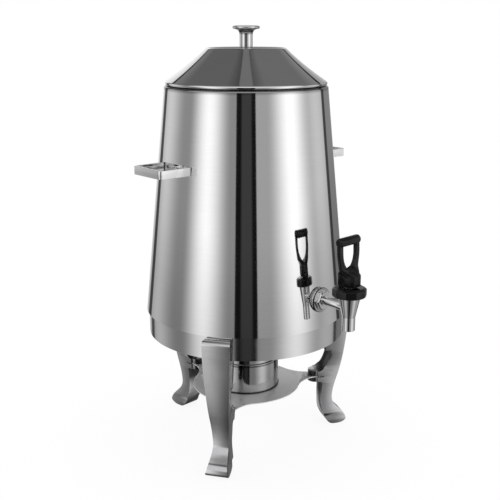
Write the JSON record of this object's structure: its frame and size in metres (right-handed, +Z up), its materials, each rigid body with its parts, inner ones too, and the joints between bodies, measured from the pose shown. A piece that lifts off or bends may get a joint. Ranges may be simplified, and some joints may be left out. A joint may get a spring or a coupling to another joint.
{
  "type": "coffee urn",
  "caption": "Tapered steel coffee urn with a lift-off lid, a lever tap and side handles, lifting off a legged stand that carries a fuel burner on a shelf.",
  "frame": {"origin": "on the floor, under the vertical axis of the body and of the stand", "axes": "+Z up, the tap points along -Y, the handles lie near the X axis"},
  "size_m": [0.3122, 0.3396, 0.5515],
  "materials": {
    "polished_steel": "mirror-polished stainless steel",
    "satin_casting": "satin cast metal",
    "satin_steel": "satin stainless sheet",
    "plain_steel": "plain stainless steel",
    "burner_steel": "bright stainless steel",
    "handle_steel": "polished flat bar",
    "tap_chrome": "polished chrome plate",
    "knob_steel": "polished turned steel",
    "black_plastic": "black moulded plastic",
    "rubber_seal": "black rubber",
    "silicone": "milky silicone"
  },
  "bodies": {
    "stand": {"stand_ring": "polished_steel", "leg_front_left": "satin_casting", "leg_front_right": "satin_casting", "leg_rear": "satin_casting", "leg_screws": "plain_steel", "burner_shelf": "satin_steel", "shelf_screws": "plain_steel"},
    "urn": {"urn_shell": "polished_steel", "urn_bottom": "plain_steel", "handle_left": "handle_steel", "handle_right": "handle_steel", "tap_body": "tap_chrome", "tap_gasket": "rubber_seal", "tap_flange": "tap_chrome", "tap_hex_nut": "tap_chrome", "tap_inner_gasket": "rubber_seal", "tap_washer": "plain_steel", "tap_lock_nut": "plain_steel", "bonnet_nut": "black_plastic"},
    "stem": {"stem": "plain_steel", "valve_plug": "silicone", "return_spring": "plain_steel"},
    "lever": {"lever": "black_plastic", "lever_pin": "plain_steel"},
    "lid": {"lid_shell": "polished_steel", "lid_ring": "plain_steel", "knob": "knob_steel", "knob_screw": "plain_steel", "knob_washer": "plain_steel"},
    "burner": {"burner_cup": "burner_steel"},
    "burner_top": {"burner_collar": "burner_steel", "snuffer_rivet": "plain_steel"},
    "snuffer": {"snuffer": "burner_steel"}
  },
  "joints": [
    {"name": "urn_lift", "type": "slide", "parent": "stand", "child": "urn", "axis": [0, 0, 1], "range_m": [0, 0.06]},
    {"name": "lid_lift", "type": "slide", "parent": "urn", "child": "lid", "axis": [0, 0, 1], "range_m": [0, 0.08]},
    {"name": "stem_lift", "type": "slide", "parent": "urn", "child": "stem", "axis": [0, 0, 1], "range_m": [0, 0.003], "deforming": ["return_spring"]},
    {"name": "lever_tilt", "type": "hinge", "parent": "stem", "child": "lever", "pos_m": [0, -0.17498, 0.2588], "axis": [1, 0, 0], "range_deg": [0, 32.1], "stiffness_Nm_per_rad": 0.3, "springref_deg": -20.05},
    {"name": "burner_slide", "type": "slide", "parent": "stand", "child": "burner", "axis": [0, -1, 0], "range_m": [0, 0.2]},
    {"name": "collar_lift", "type": "slide", "parent": "burner", "child": "burner_top", "axis": [0, 0, 1], "range_m": [0, 0.02]},
    {"name": "snuffer_swing", "type": "hinge", "parent": "burner_top", "child": "snuffer", "pos_m": [0, 0.034, 0.1243], "axis": [0, 0, 1], "range_deg": [0, 100]}
  ],
  "couplings": [
    {"joint": "lever_tilt", "follows": "stem_lift", "rad_per_m": 186.17}
  ]
}
